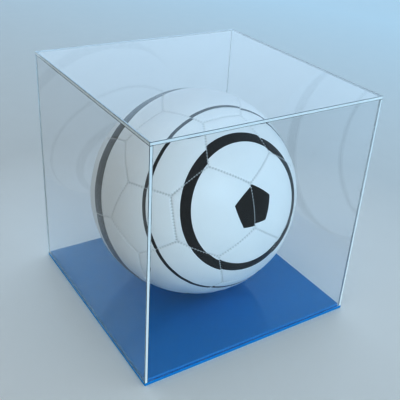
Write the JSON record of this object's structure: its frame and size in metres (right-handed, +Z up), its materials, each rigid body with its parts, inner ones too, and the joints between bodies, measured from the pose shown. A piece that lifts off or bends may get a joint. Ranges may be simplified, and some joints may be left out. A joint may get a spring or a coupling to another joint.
{
  "type": "football display case",
  "caption": "Clear box cover that lifts straight off a flat blue base, with a sewn football standing on a small clear ring inside.",
  "frame": {"origin": "middle of the underside of the base", "axes": "+Z up out of the base; -Y is the front face, which the ball's ringed print looks out of; +X is to the right seen from the front"},
  "size_m": [0.25, 0.25, 0.253],
  "materials": {
    "clear_acrylic": "water-clear cast acrylic sheet, polished edges with a pale blue glow",
    "blue_acrylic": "glossy royal blue acrylic sheet, brighter sawn edges",
    "ball_skin": "white coated synthetic leather, smooth with a soft gloss, plain black and grey printed bands",
    "bladder_rubber": "plain black rubber",
    "valve_rubber": "black rubber, matt"
  },
  "bodies": {
    "base": {"base_sheet": "blue_acrylic", "locating_sheet": "blue_acrylic", "ball_ring": "clear_acrylic"},
    "cover": {"front_panel": "clear_acrylic", "back_panel": "clear_acrylic", "left_panel": "clear_acrylic", "right_panel": "clear_acrylic", "top_panel": "clear_acrylic"},
    "ball": {"hex_panel_01": "ball_skin", "hex_panel_02": "ball_skin", "hex_panel_03": "ball_skin", "hex_panel_04": "ball_skin", "hex_panel_05": "ball_skin", "hex_panel_06": "ball_skin", "hex_panel_07": "ball_skin", "hex_panel_08": "ball_skin", "hex_panel_09": "ball_skin", "hex_panel_10": "ball_skin", "hex_panel_11": "ball_skin", "hex_panel_12": "ball_skin", "hex_panel_13": "ball_skin", "hex_panel_14": "ball_skin", "hex_panel_15": "ball_skin", "hex_panel_16": "ball_skin", "hex_panel_17": "ball_skin", "hex_panel_18": "ball_skin", "hex_panel_19": "ball_skin", "hex_panel_20": "ball_skin", "pent_panel_01": "ball_skin", "pent_panel_02": "ball_skin", "pent_panel_03": "ball_skin", "pent_panel_04": "ball_skin", "pent_panel_05": "ball_skin", "pent_panel_06": "ball_skin", "pent_panel_07": "ball_skin", "pent_panel_08": "ball_skin", "pent_panel_09": "ball_skin", "pent_panel_10": "ball_skin", "pent_panel_11": "ball_skin", "pent_panel_12": "ball_skin", "bladder": "bladder_rubber", "valve": "valve_rubber"}
  },
  "joints": [
    {"name": "cover_lift", "type": "slide", "parent": "base", "child": "cover", "axis": [0, 0, 1], "range_m": [0, 0.3]},
    {"name": "ball_turn", "type": "hinge", "parent": "base", "child": "ball", "pos_m": [0, 0, 0.119], "axis": [0, 0, 1], "continuous": true}
  ]
}
